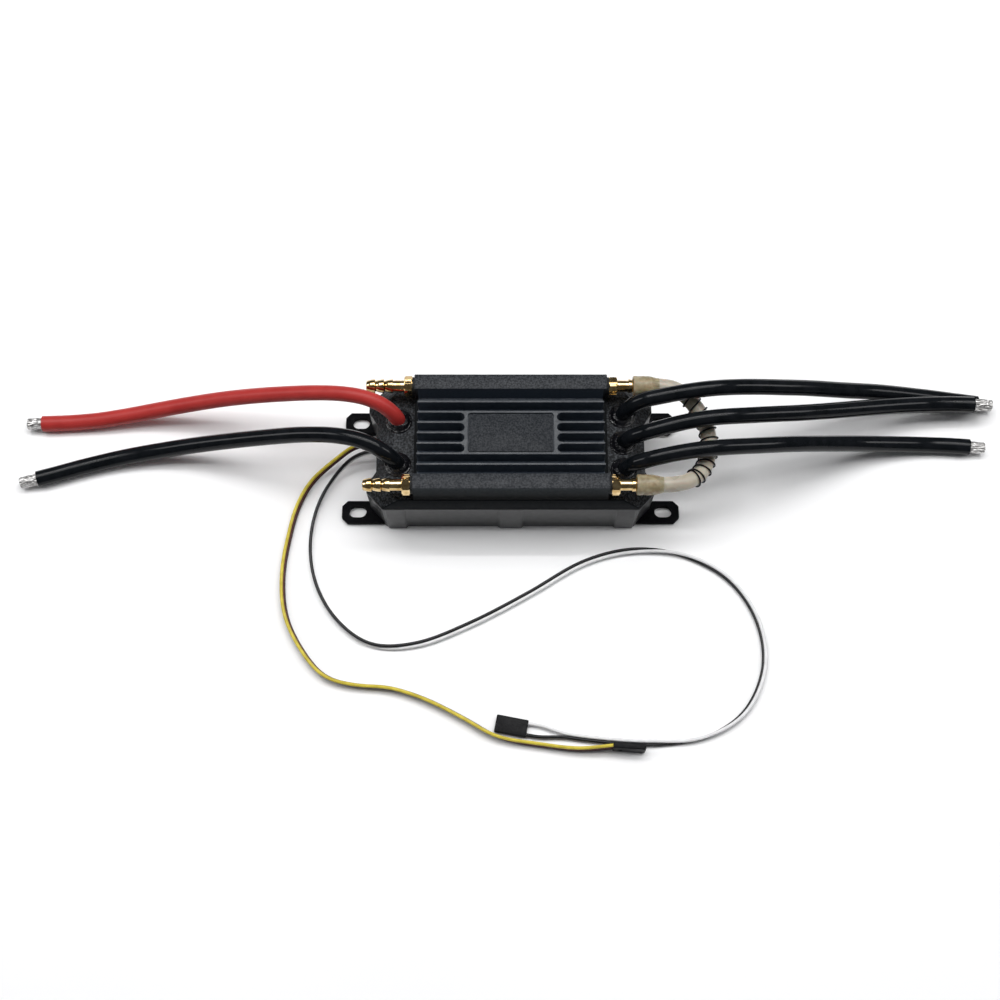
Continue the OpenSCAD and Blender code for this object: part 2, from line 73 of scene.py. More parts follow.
POSITIVE = [
    (-50.3, 10.6, 26), (-50.3, 10.6, 31), (-52, 11.6, 35), (-57, 14, 40), (-65, 16.7, 42),
    (-76, 19, 41), (-90, 21.4, 37), (-108, 24, 30), (-128, 26, 22), (-150, 26.6, 13.8),
    (-172, 25.6, 7.4), (-194, 23, 4.4), (-213, 21.8, 3.6), (-220, 21.6, 3.6)]
NEGATIVE = [
    (-50.3, -10.6, 26), (-50.3, -10.6, 31), (-52, -10.4, 35), (-57, -8, 40), (-65, -4.5, 42),
    (-77, -1, 40), (-92, 1.6, 35), (-110, 4, 27), (-130, 6, 18), (-152, 6.7, 10),
    (-174, 4.8, 5.4), (-196, 0.2, 3.7), (-212, -4.6, 3.6), (-219, -6.6, 3.6)]
MOTOR_A = [
    (50.3, 13.2, 26), (50.3, 13.2, 31), (52, 13.8, 35.4), (57, 15.4, 41), (65, 15.8, 44),
    (76, 17.6, 45.2), (90, 20, 44.4), (106, 22.4, 41), (126, 26, 33), (148, 30, 23),
    (170, 33.6, 13.2), (190, 34.8, 6.8), (207, 34, 3.9), (221, 32, 3.6)]
MOTOR_B = [
    (50.3, 0, 26), (50.3, 0, 31), (52, 0, 34.6), (57, 0.2, 38.8), (66, 1.6, 42),
    (78, 4.2, 43.4), (92, 6.6, 43), (108, 9, 40), (126, 12.6, 34), (148, 18.3, 25),
    (170, 24, 17), (190, 27.6, 11.8), (206, 28.6, 10.4), (217, 28.4, 10.2)]
MOTOR_C = [
    (50.3, -13.2, 26), (50.3, -13.2, 31), (52, -13.2, 34.6), (57, -13, 38.6), (66, -12, 42.2),
    (78, -10.2, 44), (92, -7.8, 42.5), (108, -4.6, 37.5), (126, -0.4, 29.5), (148, 5, 18),
    (170, 9, 8.8), (190, 10.5, 4.5), (204, 10.4, 3.6), (214.5, 9.6, 3.6)]
TUBE = [
    (TIP_X, 24, 38.4), (70, 24, 38), (76.3, 22.2, 36.6), (82, 17.2, 34.4),
    (86.6, 10, 32.8), (88.6, 1, 32), (87.4, -8.6, 32.8), (84.4, -15.8, 34.6),
    (79.4, -20.8, 36.4), (72.4, -23.4, 37.8), (TIP_X, -24, 38.4)]
THROTTLE = [
    (-56, 8.6, 10), (-64, 8.6, 10), (-72, 7.8, 8.4), (-82, 1.4, 5), (-92, -7.8, 3),
    (-98, -20, 2.3), (-101, -34, 2.3), (-103, -52, 2.3), (-101, -71, 2.3), (-94, -86, 2.3),
    (-82, -100, 2.3), (-68, -104, 2.3), (-54, -105, 2.3), (-38, -110, 2.3), (-20, -119, 2.3),
    (-6, -126.8, 2.3), (14, -130.6, 2.3), (30, -132.4, 2.8), (44, -131.4, 3.9)]
PROGRAM = [
    (-56, 4.6, 10), (-64, 4.6, 10), (-73, 2.4, 7.4), (-83, -7.4, 2.6), (-89, -20, 1.6),
    (-91.4, -38, 1.6), (-88, -57, 1.6), (-78, -74, 1.6), (-62, -85.6, 1.6), (-42, -85.4, 1.6),
    (-18, -76, 1.6), (8, -62, 1.6), (34, -46.6, 1.6), (56, -41, 1.6), (78, -43, 1.6),
    (98, -54, 1.6), (110, -73, 1.6), (112, -95, 1.6), (102, -116, 1.6), (84, -127, 1.6),
    (62, -129.4, 1.6), (34, -127.6, 1.6), (7, -123.4, 1.5)]

# ---------- materials ----------


def node(tree, kind, **values):
    """A shader node with its properties and its input sockets set by name."""
    made = tree.nodes.new(kind)
    for key, value in values.items():
        if hasattr(made, key):
            setattr(made, key, value)
        else:
            made.inputs[key.replace("_", " ")].default_value = value
    return made


# most of a noise texture's values lie between these
NOISE_LOW, NOISE_HIGH = 0.3, 0.7
SMOOTHEST = 0.02


def material(name, dark, light, rough, speck=1.0, blend=(0.35, 0.65), rough_span=0.1,
             bumps=(), stretch=(1, 1, 1), fade=None, **sockets):
    """A procedural material. Its colour runs from dark to light over a noise with features of
    speck mm, its roughness follows a coarser noise, and bumps is a list of (feature size in mm,
    height in mm, strength). fade is (low z, high z, share of the colour left at the low one),
    and paints shade: the colour grows darker towards the low z."""
    made = bpy.data.materials.new(name)
    made.use_nodes = True
    tree = made.node_tree
    tree.nodes.clear()
    link = tree.links.new
    out = node(tree, "ShaderNodeOutputMaterial")
    shade = node(tree, "ShaderNodeBsdfPrincipled", **sockets)
    link(shade.outputs[0], out.inputs[0])
    place = node(tree, "ShaderNodeTexCoord")
    sized = node(tree, "ShaderNodeMapping", Scale=stretch)
    link(place.outputs["Object"], sized.inputs[0])

    def noise_of(size, detail=2.0):
        texture = node(tree, "ShaderNodeTexNoise", Scale=1 / (size * MM), Detail=detail)
        link(sized.outputs[0], texture.inputs["Vector"])
        return texture.outputs["Fac"]

    ramp = node(tree, "ShaderNodeValToRGB")
    for stop, position, tone in zip(ramp.color_ramp.elements, blend, (dark, light)):
        stop.position = position
        stop.color = (*tone, 1)
    link(noise_of(speck), ramp.inputs[0])
    colour = ramp.outputs[0]
    # painted shade: the colour is scaled down towards the low z of fade
    if fade:
        axes = node(tree, "ShaderNodeSeparateXYZ")
        link(place.outputs["Object"], axes.inputs[0])
        height = node(tree, "ShaderNodeMapRange", From_Min=fade[0] * MM,
                      From_Max=fade[1] * MM, To_Min=fade[2])
        link(axes.outputs["Z"], height.inputs[0])
        scaled = node(tree, "ShaderNodeVectorMath", operation="SCALE")
        link(colour, scaled.inputs[0])
        link(height.outputs[0], scaled.inputs["Scale"])
        colour = scaled.outputs[0]
    link(colour, shade.inputs["Base Color"])
    span = node(tree, "ShaderNodeMapRange", From_Min=NOISE_LOW, From_Max=NOISE_HIGH,
                To_Min=max(SMOOTHEST, rough - rough_span), To_Max=min(1.0, rough + rough_span))
    link(noise_of(speck * 4), span.inputs[0])
    link(span.outputs[0], shade.inputs["Roughness"])
    last = None
    for size, height, strength in bumps:
        bump = node(tree, "ShaderNodeBump", Strength=strength, Distance=height * MM)
        link(noise_of(size, 3.0), bump.inputs["Height"])
        if last:
            link(last.outputs[0], bump.inputs["Normal"])
        last = bump
    if last:
        link(last.outputs[0], shade.inputs["Normal"])
    return made


M = {
    "case_lower": material("case_lower", (0.015, 0.016, 0.018), (0.021, 0.022, 0.024), 0.34,
                           0.9, rough_span=0.03, bumps=[(0.5, 0.01, 0.2)],
                           Specular_IOR_Level=0.48),
    "case_upper": material("case_upper", (0.004, 0.006, 0.008), (0.007, 0.009, 0.011), 0.4,
                           1.2, bumps=[(0.6, 0.015, 0.2)], Specular_IOR_Level=0.06),
    "deck_grain": material("deck_grain", (0.004, 0.005, 0.006), (0.050, 0.054, 0.060), 0.5,
                           0.9, (0.42, 0.66), 0.12, [(0.9, 0.4, 0.9), (0.35, 0.12, 0.6)],
                           Specular_IOR_Level=0.15),
    "ear": material("ear", (0.003, 0.003, 0.004), (0.006, 0.006, 0.007), 0.5, 1.0,
                    bumps=[(0.6, 0.02, 0.3)], Specular_IOR_Level=0.02),
    "gasket": material("gasket", (0.008, 0.008, 0.009), (0.016, 0.016, 0.017), 0.7, 1.5,
                       bumps=[(1.0, 0.05, 0.3)], Specular_IOR_Level=0.25),
    "screw_steel": material("screw_steel", (0.34, 0.35, 0.37), (0.52, 0.53, 0.55), 0.32, 1.5,
                            bumps=[(0.4, 0.02, 0.3)], Metallic=1.0),
    "anodised": material("anodised_black", (0.009, 0.011, 0.014), (0.045, 0.048, 0.054), 0.5,
                         0.8, (0.36, 0.66), 0.08, [(0.7, 0.12, 0.5), (0.3, 0.04, 0.3)],
                         Specular_IOR_Level=0.15),
    # the sink's sides and ends: a darker copy of the anodised finish with painted shade, fading
    # darker still towards the bottom
    "sink_side_painted_shade": material("anodised_side_painted_shade", (0.034, 0.040, 0.044), (0.046, 0.052, 0.057), 0.42,
                          1.2, rough_span=0.04, bumps=[(0.8, 0.02, 0.2)],
                          fade=(33, 42.5, 0.10), Specular_IOR_Level=0.015),
    # the fins and the trough floor: a lighter copy of the anodised finish, painted light that
    # lifts the shade between the fins
    "anodised_gap_painted_light": material("anodised_gap_painted_light", (0.032, 0.044, 0.062), (0.046, 0.060, 0.080),
                              0.4, 1.2, bumps=[(0.8, 0.03, 0.25)], Specular_IOR_Level=0.3),
    # the fin tops: a lighter copy of the anodised finish, a painted highlight along them
    "fin_top_painted_highlight": material("fin_top_painted_highlight", (0.024, 0.028, 0.034), (0.046, 0.052, 0.060), 0.38,
                         1.2, bumps=[(0.6, 0.03, 0.3)], Specular_IOR_Level=0.3),
    "plate": material("plate_black", (0.007, 0.009, 0.012), (0.037, 0.040, 0.045), 0.5,
                      0.7, (0.36, 0.66), 0.08, [(0.6, 0.10, 0.5), (0.3, 0.04, 0.3)],
                      Specular_IOR_Level=0.12),
    "brass": material("nozzle_brass", (0.50, 0.33, 0.13), (0.80, 0.61, 0.33), 0.06, 3.0,
                      rough_span=0.03, bumps=[(0.5, 0.015, 0.3)], Metallic=1.0),
    "washer": material("washer_rubber", (0.012, 0.012, 0.012), (0.022, 0.022, 0.022), 0.6,
                       1.0, bumps=[(0.6, 0.03, 0.3)], Specular_IOR_Level=0.2),
    "silicone": material("silicone_clear", (0.37, 0.33, 0.265), (0.44, 0.40, 0.325), 0.30, 6.0,
                         bumps=[(3.0, 0.1, 0.15)], Transmission_Weight=0.03, IOR=1.41,
                         Subsurface_Weight=0.25, Subsurface_Scale=0.003),
    "collar": material("silicone_collar", (0.24, 0.19, 0.11), (0.38, 0.32, 0.205), 0.30, 2.5,
                       bumps=[(2.0, 0.1, 0.2)], Transmission_Weight=0.12, IOR=1.41,
                       Subsurface_Weight=0.25, Subsurface_Scale=0.003),
    "spring": material("spring_steel", (0.003, 0.003, 0.004), (0.006, 0.006, 0.007), 0.35,
                       1.0, bumps=[(0.4, 0.01, 0.2)], Specular_IOR_Level=0.15),
    "potting": material("potting", (0.003, 0.003, 0.004), (0.007, 0.007, 0.009), 0.14, 2.0,
                        rough_span=0.06, bumps=[(1.6, 0.6, 0.9)]),
    "red": material("silicone_red", (0.37, 0.029, 0.026), (0.42, 0.037, 0.033), 0.40, 7.0,
                    (0.3, 0.7), 0.04, [(4.0, 0.08, 0.2), (0.5, 0.010, 0.15)],
                    Specular_IOR_Level=0.22),
    "black": material("silicone_black", (0.003, 0.004, 0.005), (0.007, 0.008, 0.010), 0.11,
                      5.0, (0.3, 0.7), 0.03, [(5.0, 0.12, 0.2), (0.5, 0.006, 0.15)],
                      Specular_IOR_Level=0.16),
    "tinned": material("tinned_copper", (0.18, 0.175, 0.17), (0.74, 0.73, 0.72), 0.46, 0.7,
                       (0.34, 0.60), 0.10, [(0.9, 0.3, 0.6), (0.35, 0.08, 0.5)],
                       stretch=(0.3, 1, 1), Metallic=1.0),
    "yellow": material("strand_yellow", (0.50, 0.40, 0.035), (0.66, 0.54, 0.06), 0.4, 4.0,
                       bumps=[(1.5, 0.05, 0.2)], Specular_IOR_Level=0.3),
    "strand_red": material("strand_red", (0.085, 0.012, 0.012), (0.12, 0.018, 0.016), 0.4, 4.0,
                           bumps=[(1.5, 0.05, 0.2)], Specular_IOR_Level=0.3),
    "brown": material("strand_brown", (0.035, 0.014, 0.012), (0.060, 0.026, 0.020), 0.4, 4.0,
                      bumps=[(1.5, 0.05, 0.2)], Specular_IOR_Level=0.3),
    "white": material("strand_white", (0.70, 0.70, 0.71), (0.78, 0.78, 0.79), 0.4, 4.0,
                      bumps=[(1.5, 0.05, 0.2)], Specular_IOR_Level=0.3),
    "strand_black": material("strand_black", (0.006, 0.006, 0.007), (0.012, 0.012, 0.014),
                             0.35, 4.0, bumps=[(1.5, 0.05, 0.2)], Specular_IOR_Level=0.3),
    "connector": material("connector_black", (0.005, 0.005, 0.006), (0.011, 0.011, 0.012),
                          0.45, 1.0, bumps=[(0.5, 0.02, 0.3)], Specular_IOR_Level=0.08),
    "contact": material("contact_gold", (0.70, 0.52, 0.22), (0.85, 0.66, 0.32), 0.25, 2.0,
                        bumps=[(0.5, 0.01, 0.2)], Metallic=1.0),
    "board_green": material("board_green", (0.010, 0.09, 0.045), (0.02, 0.16, 0.08), 0.3, 6.0,
                            bumps=[(1.5, 0.03, 0.3)]),
    "board_blue": material("board_blue", (0.010, 0.05, 0.13), (0.02, 0.09, 0.22), 0.3, 6.0,
                           bumps=[(1.5, 0.03, 0.3)]),
    "chip": material("chip_black", (0.012, 0.012, 0.013), (0.024, 0.024, 0.026), 0.55, 1.0,
                     bumps=[(0.4, 0.02, 0.3)]),
    "pad": material("pad_grey", (0.30, 0.32, 0.37), (0.42, 0.45, 0.51), 0.8, 1.5,
                    bumps=[(1.0, 0.05, 0.3)]),
    "copper": material("copper", (0.60, 0.28, 0.15), (0.76, 0.42, 0.26), 0.3, 2.0,
                       bumps=[(0.6, 0.02, 0.3)], Metallic=1.0),
    "sleeve": material("capacitor_sleeve", (0.012, 0.02, 0.06), (0.03, 0.04, 0.10), 0.28, 5.0,
                       bumps=[(2.0, 0.03, 0.2)]),
}

# ---------- mesh helpers ----------


def mesh_object(name, points, faces, mats):
    """A mesh object from points in mm."""
    data = bpy.data.meshes.new(name)
    data.from_pydata([tuple(c * MM for c in p) for p in points], [], faces)
    for m in mats:
        data.materials.append(m)
    made = bpy.data.objects.new(name, data)
    bpy.context.scene.collection.objects.link(made)
    work = bmesh.new()
    work.from_mesh(data)
    bmesh.ops.recalc_face_normals(work, faces=work.faces)
    work.to_mesh(data)
    work.free()
    return made


def soften(made, angle=35):
    """Smooth shading, with edges over that angle left sharp."""
    data = made.data
    data.polygons.foreach_set("use_smooth", [True] * len(data.polygons))
    data.set_sharp_from_angle(angle=math.radians(angle))


def settle(made):
    """Applies an object's modifiers to its mesh."""
    view = bpy.context.evaluated_depsgraph_get()
    old = made.data
    made.data = bpy.data.meshes.new_from_object(made.evaluated_get(view))
    made.modifiers.clear()
    bpy.data.meshes.remove(old)
    made.data.name = made.name
    return made


def discard(made):
    """Removes an object that has been used up, with its mesh."""
    data = made.data
    bpy.data.objects.remove(made)
    bpy.data.meshes.remove(data)


def bevel(made, width, segments=2, angle=30):
    """Rounds the edges sharper than that angle."""
    rounding = made.modifiers.new("bevel", "BEVEL")
    rounding.width = width * MM
    rounding.segments = segments
    rounding.limit_method = "ANGLE"
    rounding.angle_limit = math.radians(angle)
    rounding.use_clamp_overlap = True
    return settle(made)


def boolean(made, tools, operation="DIFFERENCE"):
    """Cuts the tools out of made, or joins them to it, and removes them."""
    for tool in tools:
        cut = made.modifiers.new("cut", "BOOLEAN")
        cut.object = tool
        cut.operation = operation
        cut.solver = "EXACT"
    settle(made)
    for tool in tools:
        discard(tool)
    return made


def join(name, parts):
    """Joins separate objects into one mesh, keeping each one's materials."""
    work = bmesh.new()
    mats = []
    for part in parts:
        shift = len(mats)
        mats += list(part.data.materials)
        first = len(work.faces)
        work.from_mesh(part.data)
        work.faces.ensure_lookup_table()
        for face in work.faces[first:]:
            face.material_index += shift
        discard(part)
    data = bpy.data.meshes.new(name)
    work.to_mesh(data)
    work.free()
    for m in mats:
        data.materials.append(m)
    made = bpy.data.objects.new(name, data)
    bpy.context.scene.collection.objects.link(made)
    return made


def keep(made, slot, *nodes, angle=35):
    """Finishes a piece: shading, the body it rides on and the nodes it stands for, which it
    hides. slot is not used.
    """
    soften(made, angle)
    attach(made, "root")
    if nodes:
        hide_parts(*nodes)
    return made


def loft(name, rings, mats):
    """A closed skin over rings of equal point counts, each a list of points in mm."""
    n = len(rings[0])
    points = [p for ring in rings for p in ring]
    faces = [(i * n + k, i * n + (k + 1) % n, (i + 1) * n + (k + 1) % n, (i + 1) * n + k)
             for i in range(len(rings) - 1) for k in range(n)]
    faces += [tuple(range(n))[::-1], tuple(range((len(rings) - 1) * n, len(rings) * n))]
    return mesh_object(name, points, faces, mats)


def box_of(name, low, high, mats):
    """A box between two corners."""
    ring = [(low[0], low[1]), (high[0], low[1]), (high[0], high[1]), (low[0], high[1])]
    return loft(name, [[(x, y, z) for x, y in ring] for z in (low[2], high[2])], mats)


def plate_of(name, outline, low_z, high_z, mats):
    """A flat outline drawn up from one height to another."""
    return loft(name, [[(x, y, z) for x, y in outline] for z in (low_z, high_z)], mats)


def arc(cx, cy, r, start, end, steps):
    """Points on a circle from one angle to another, in degrees, both ends included."""
    return [(cx + r * math.cos(math.radians(start + (end - start) * i / steps)),
             cy + r * math.sin(math.radians(start + (end - start) * i / steps)))
            for i in range(steps + 1)]


def round_rect(half_x, half_y, r, steps=6):
    """Rectangle round the origin, with rounded corners."""
    return (arc(half_x - r, half_y - r, r, 0, 90, steps)
            + arc(r - half_x, half_y - r, r, 90, 180, steps)
            + arc(r - half_x, r - half_y, r, 180, 270, steps)
            + arc(half_x - r, r - half_y, r, 270, 360, steps))


def round_slot(cx, cy, length, width, steps=10):
    """Slot with half-round ends, longest along the first axis."""
    reach = (length - width) / 2
    return (arc(cx + reach, cy, width / 2, -90, 90, steps)
            + arc(cx - reach, cy, width / 2, 90, 270, steps))


def turned(name, profile, start, axis, mats, sides=48, radius_at=None):
    """Solid of revolution about axis from start. profile is a closed loop of (distance, radius)
    pairs, and radius_at(distance, radius, angle) may change a radius."""
    axis = Vector(axis).normalized()
    side = axis.orthogonal().normalized() if abs(axis.z) > 0.99 else UP.cross(axis).normalized()
    third = axis.cross(side)
    start = Vector(start)
    shape = radius_at or (lambda distance, radius, angle: radius)
    points = []
    for distance, radius in profile:
        for k in range(sides):
            a = 2 * math.pi * k / sides
            r = shape(distance, radius, a)
            points.append(start + axis * distance + side * (r * math.cos(a))
                          + third * (r * math.sin(a)))
    n, count = sides, len(profile)
    faces = [(i * n + k, i * n + (k + 1) % n, (i + 1) % count * n + (k + 1) % n,
              (i + 1) % count * n + k)
             for i in range(count) for k in range(n)]
    return mesh_object(name, points, faces, mats)


# ---------- cords ----------

SMOOTHING_PASSES = 10
# steps along the wires, and points round them
WIRE_STEP, WIRE_SIDES, STRAND_STEP, STRAND_SIDES = 1.6, 32, 1.4, 14
# thickness of a relaxed wire, as a share of WIRE_D
THICKEST = 1.07


def smooth_path(route, step):
    """Points about step mm apart on a smooth curve through a route's points."""
    pts = [Vector(p) for p in route]
    pts = [pts[0] * 2 - pts[1]] + pts + [pts[-1] * 2 - pts[-2]]
    out = []
    for a, b, c, d in zip(pts, pts[1:], pts[2:], pts[3:]):
        ta = (b - a).length ** 0.5
        tb = (c - b).length ** 0.5
        tc = (d - c).length ** 0.5
        m1 = (c - b) + ((b - a) / ta - (c - a) / (ta + tb)) * tb
        m2 = (c - b) + ((d - c) / tc - (d - b) / (tb + tc)) * tb
        count = max(1, round((c - b).length / step))
        for i in range(count):
            t = i / count
            out.append(b * (2 * t ** 3 - 3 * t ** 2 + 1) + m1 * (t ** 3 - 2 * t ** 2 + t)
                       + c * (3 * t ** 2 - 2 * t ** 3) + m2 * (t ** 3 - t ** 2))
    out.append(pts[-2])
    for _ in range(SMOOTHING_PASSES):
        # evens out the bends where two stretches of the curve meet
        middle = [(a + b * 2 + c) / 4 for a, b, c in zip(out, out[1:], out[2:])]
        out = [out[0]] + middle + [out[-1]]
    return out


def along(path):
    """Distance of each point along a path, with the total last."""
    total, out = 0.0, [0.0]
    for a, b in zip(path, path[1:]):
        total += (b - a).length
        out.append(total)
    return out


def heading(path, i):
    """The way a path runs at its point i. It isn't of unit length."""
    return path[min(i + 1, len(path) - 1)] - path[max(i - 1, 0)]


def frames_of(path, reference=None):
    """Side and lift vectors at each point. With a reference the lift leans towards it, and
    otherwise the frame is carried along the path without twist."""
    out, side = [], None
    for i in range(len(path)):
        t = heading(path, i).normalized()
        if reference is not None or side is None:
            guide = reference if reference is not None else Vector((0, 1, 0))
            side = guide.cross(t).normalized()
        else:
            side = (side - t * side.dot(t)).normalized()
        out.append((side, t.cross(side)))
    return out


def tube_rings(path, frames, radius, sides):
    """Rings round a path. radius is a number, or a function of a point's index and an angle."""
    rings = []
    for i, (p, (side, lift)) in enumerate(zip(path, frames)):
        ring = []
        for k in range(sides):
            a = 2 * math.pi * k / sides
            r = radius(i, a) if callable(radius) else radius
            ring.append(p + side * (r * math.cos(a)) + lift * (r * math.sin(a)))
        rings.append(ring)
    return rings


def thick_wire(name, route, mat, tip_node, tip_len, seed):
    """A thick silicone wire with its cut end, and its tinned strands as a second piece."""
    red = mat == M["red"]
    # how far the wire strays from its route, and its thickness beside the case and beyond
    wander = 0.22
    tight, loose = (0.98, 1.05) if red else (1.02, THICKEST)
    path = smooth_path(route, WIRE_STEP)
    spread = along(path)
    for i, p in enumerate(path):
        # a slight irregular wave, none near the two ends
        free = min(1, max(0, spread[i] - 25) / 30, max(0, spread[-1] - spread[i] - 12) / 30)
        shift = Vector([noise.noise(Vector((spread[i] * 0.035, seed * 7.3, layer)))
                        for layer in (1.7, 11.7, 21.7)])
        path[i] = p + shift * (wander * free)
        path[i].z = max(path[i].z, WIRE_D / 2 * THICKEST)
    frames = frames_of(path)
    swell = [tight + (loose - tight) * min(1, max(0, s - 35) / 90)
             + 0.006 * noise.noise(Vector((s * 0.12, seed, 0.4))) for s in spread]
    rings = tube_rings(path, frames, lambda i, a: WIRE_D / 2 * swell[i], WIRE_SIDES)
    # the cut end turns in over a small radius and has a shallow recess round the strands
    out = (path[-1] - path[-2]).normalized()
    for push, r in [(0.07, WIRE_D / 2 - 0.03), (0.10, WIRE_D / 2 - 0.12), (0.08, 2.95),
                    (-0.4, 2.7)]:
        rings += tube_rings([path[-1] + out * push], frames[-1:], r, WIRE_SIDES)
    wire = keep(loft(name + "_sleeve", rings, [mat]),
                "silicone_red" if red else "silicone_black", name)
    tip = tinned_tip(tip_node, path[-1], out, frames[-1], tip_len, seed)


def tinned_tip(name, end, out, frame_there, length, seed):
    """Solder-dipped strands: lumpy, with the lay of the strands showing through. They start a
    little inside the insulation's end."""
    side, lift = frame_there
    sides, steps, inside = 72, 30, 0.5

    def rough(d, a):
        """Radius of the lumpy surface at a distance and an angle."""
        x, y = math.cos(a), math.sin(a)
        lump = noise.noise(Vector((x * 1.3, y * 1.3, d * 0.35 + seed)))
        fine = noise.noise(Vector((x * 5, y * 5, d * 0.9 + seed)))
        groove = 1 - abs(math.sin(6 * a + 0.35 * d + 1.5 * lump)) ** 0.5
        return TIP_D / 2 - 0.12 + 0.30 * lump + 0.16 * fine - 0.32 * groove

    rings = []
    for j in range(steps + 1):
        d = -inside + (length + inside) * j / steps
        edge = 0.3 if j == steps else 0
        rings += tube_rings([end + out * d], [frame_there], lambda i, a: rough(d, a) - edge,
                            sides)
    # the domed, uneven end
    for shrink in (0.75, 0.45, 0.15):
        ring = []
        for k in range(sides):
            a = 2 * math.pi * k / sides
            r = TIP_D / 2 * shrink
            bulge = 0.22 * noise.noise(Vector((r * math.cos(a) * 1.2, r * math.sin(a) * 1.2,
                                               seed * 3)))
            ring.append(end + out * (length + 0.05 + bulge) + side * (r * math.cos(a))
                        + lift * (r * math.sin(a)))
        rings.append(ring)
    return keep(loft(name + "_strands", rings, [M["tinned"]]), "tinned_copper", name, angle=50)


def strands(name, route, colours, angle_at, gap_at):
    """Parallel strands side by side along one route. angle_at(s) is the lean in degrees of the
    row of strands from the path's left side towards up, and gap_at(s) the distance between
    neighbours. The first colour lies at the foot of that direction."""
    path = smooth_path(route, STRAND_STEP)
    spread = along(path)
    parts, n = [], len(colours)
    for j, colour in enumerate(colours):
        line = []
        for i, p in enumerate(path):
            ahead = heading(path, i)
            left = UP.cross(ahead).normalized()
            lean = math.radians(angle_at(spread[i]))
            row = left * math.cos(lean) + ahead.normalized().cross(left) * math.sin(lean)
            line.append(p + row * (gap_at(spread[i]) * (j - (n - 1) / 2)))
        rings = tube_rings(line, frames_of(line), STRAND_D / 2, STRAND_SIDES)
        parts.append(loft(f"{name}_{j}", rings, [colour]))
    return join(name + "_strands", parts), path


def table(pairs):
    """A function that runs smoothly between (position, value) pairs."""
    def value(s):
        if s <= pairs[0][0]:
            return pairs[0][1]
        for (a, u), (b, v) in zip(pairs, pairs[1:]):
            if s <= b:
                t = (s - a) / (b - a)
                return u + (v - u) * t * t * (3 - 2 * t)
        return pairs[-1][1]
    return value


thick_wire("battery_wire_positive", POSITIVE, M["red"], "battery_tip_positive", 7, 1)
thick_wire("battery_wire_negative", NEGATIVE, M["black"], "battery_tip_negative", 8, 2)
thick_wire("motor_wire_a", MOTOR_A, M["black"], "motor_tip_a", 7, 3)
thick_wire("motor_wire_b", MOTOR_B, M["black"], "motor_tip_b", 7, 4)
thick_wire("motor_wire_c", MOTOR_C, M["black"], "motor_tip_c", 7, 5)

# ---------- thin leads and their plugs ----------

PLUG_LEN, PLUG_W, PLUG_T, PIN_PITCH = 14.0, 7.7, 2.6, 2.54


def plug(name, start, along_x, across, up, slot_node):
    """Three-way connector housing. start is the middle of its wire end's lower edge."""
    x, y, z = (Vector(v).normalized() for v in (along_x, across, up))

    def block(label, low, high, mat="connector"):
        ring = [(low[1], low[2]), (high[1], low[2]), (high[1], high[2]), (low[1], high[2])]
        return loft(label, [[Vector(start) + x * a + y * b + z * c for b, c in ring]
                            for a in (low[0], high[0])], [M[mat]])

    body = bevel(block(name + "_body", (0, -PLUG_W / 2, 0), (PLUG_LEN, PLUG_W / 2, PLUG_T)),
                 0.45, 3)
    half = PLUG_T / 2
    cuts, contacts = [], []
    for mid in (-PIN_PITCH, 0, PIN_PITCH):
        # the pin's hole, the wire's hole and the latch window of one way
        cuts.append(block("cut", (PLUG_LEN - 8, mid - 0.5, half - 0.5),
                          (PLUG_LEN + 1, mid + 0.5, half + 0.5)))
        cuts.append(block("cut", (-1, mid - 0.85, half - 0.8), (2.5, mid + 0.85, half + 0.8)))
        cuts.append(block("cut", (4.5, mid - 0.8, -1), (7.5, mid + 0.8, 0.35)))
        contacts.append(block("contact", (PLUG_LEN - 7, mid - 0.45, half - 0.45),
                              (PLUG_LEN - 0.9, mid + 0.45, half - 0.25), "contact"))
    # a shallow grip on the other side
    cuts.append(block("cut", (2.2, -1.5, PLUG_T - 0.25), (4.0, 1.5, PLUG_T + 1)))
    return keep(join(name, [boolean(body, cuts)] + contacts), "connector_black", slot_node,
                angle=30)


# the throttle lead's plug stands on its long edge, and the programming lead's lies flat
lean = math.radians(-4)
throttle_plug = plug("throttle_plug",
                     (44 + PLUG_T / 2 * math.sin(lean), -131.4 + PLUG_T / 2, PLUG_W / 2),
                     (math.cos(lean), math.sin(lean), 0), (0, 0, 1),
                     (math.sin(lean), -math.cos(lean), 0), "throttle_connector")
turn = math.radians(169)
program_plug = plug("program_plug", (7, -123.4, 0), (math.cos(turn), math.sin(turn), 0),
                    (-math.sin(turn), math.cos(turn), 0), (0, 0, 1), "program_connector")

# each lead's first table is its lean and its second its gap, both against the distance in mm:
# the strands lie side by side, roll over on the way and spread out at the plug
lead, path = strands("throttle_lead", THROTTLE, [M["brown"], M["strand_red"], M["yellow"]],
                     table([(0, 90), (20, 90), (60, 105), (215, 105), (240, 85), (272, 90)]),
                     table([(0, 1.42), (250, 1.42), (273, 2.54)]))
keep(lead, "lead_yellow", "throttle_lead", angle=60)
lead, path = strands("program_lead", PROGRAM, [M["strand_black"], M["white"]],
                     table([(0, -90), (110, -95), (160, -160), (240, -165), (290, -310),
                            (360, -310), (392, -270), (415, -190), (460, -180)]),
                     table([(0, 1.45), (446, 1.45), (461, 5.08)]))
keep(lead, "lead_white", "program_lead", angle=60)

# ---------- cooling tube ----------

tube_path = smooth_path(TUBE, 1.2)
tube = keep(loft("cooling_tube_silicone",
                 tube_rings(tube_path, frames_of(tube_path, UP), TUBE_D / 2, 36),
                 [M["silicone"]]), "silicone_clear", "cooling_tube")

